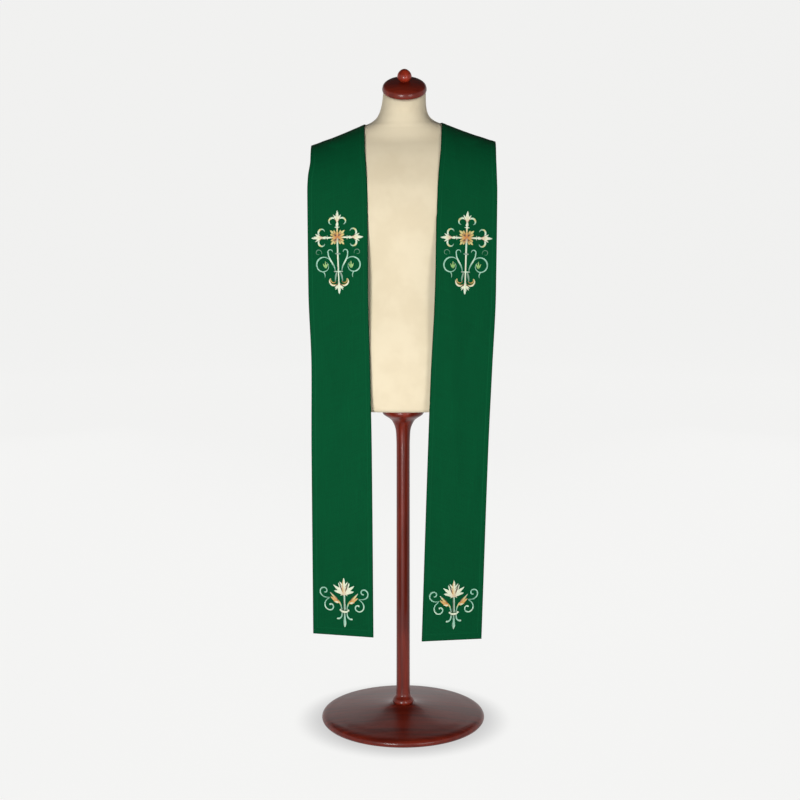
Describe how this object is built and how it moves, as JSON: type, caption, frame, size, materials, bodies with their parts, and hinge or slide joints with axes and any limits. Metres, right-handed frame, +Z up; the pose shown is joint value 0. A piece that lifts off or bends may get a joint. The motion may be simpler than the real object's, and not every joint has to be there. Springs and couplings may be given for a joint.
{
  "type": "clerical stole on a dress form",
  "caption": "Long shaped green cloth stole lying over the shoulders of a limbless covered dress form with a wooden cap, pole and round foot.",
  "frame": {"origin": "centre of the underside of the stand's round foot, on the floor", "axes": "+Z up; the front of the stole and of the form faces -Y; +X is the wearer's left"},
  "size_m": [0.4378, 0.4, 1.5714],
  "materials": {
    "green_cloth": "smooth plain-woven liturgical green cloth with a soft low sheen",
    "form_cover": "matt cream jersey drawn over the form",
    "red_wood": "turned mahogany with a glossy lacquer"
  },
  "bodies": {
    "root": {"stole_right": "green_cloth", "stole_left": "green_cloth", "form_body": "form_cover", "neck_cap": "red_wood", "cap_knob": "red_wood", "stand_pole": "red_wood", "stand_base": "red_wood"}
  },
  "joints": []
}
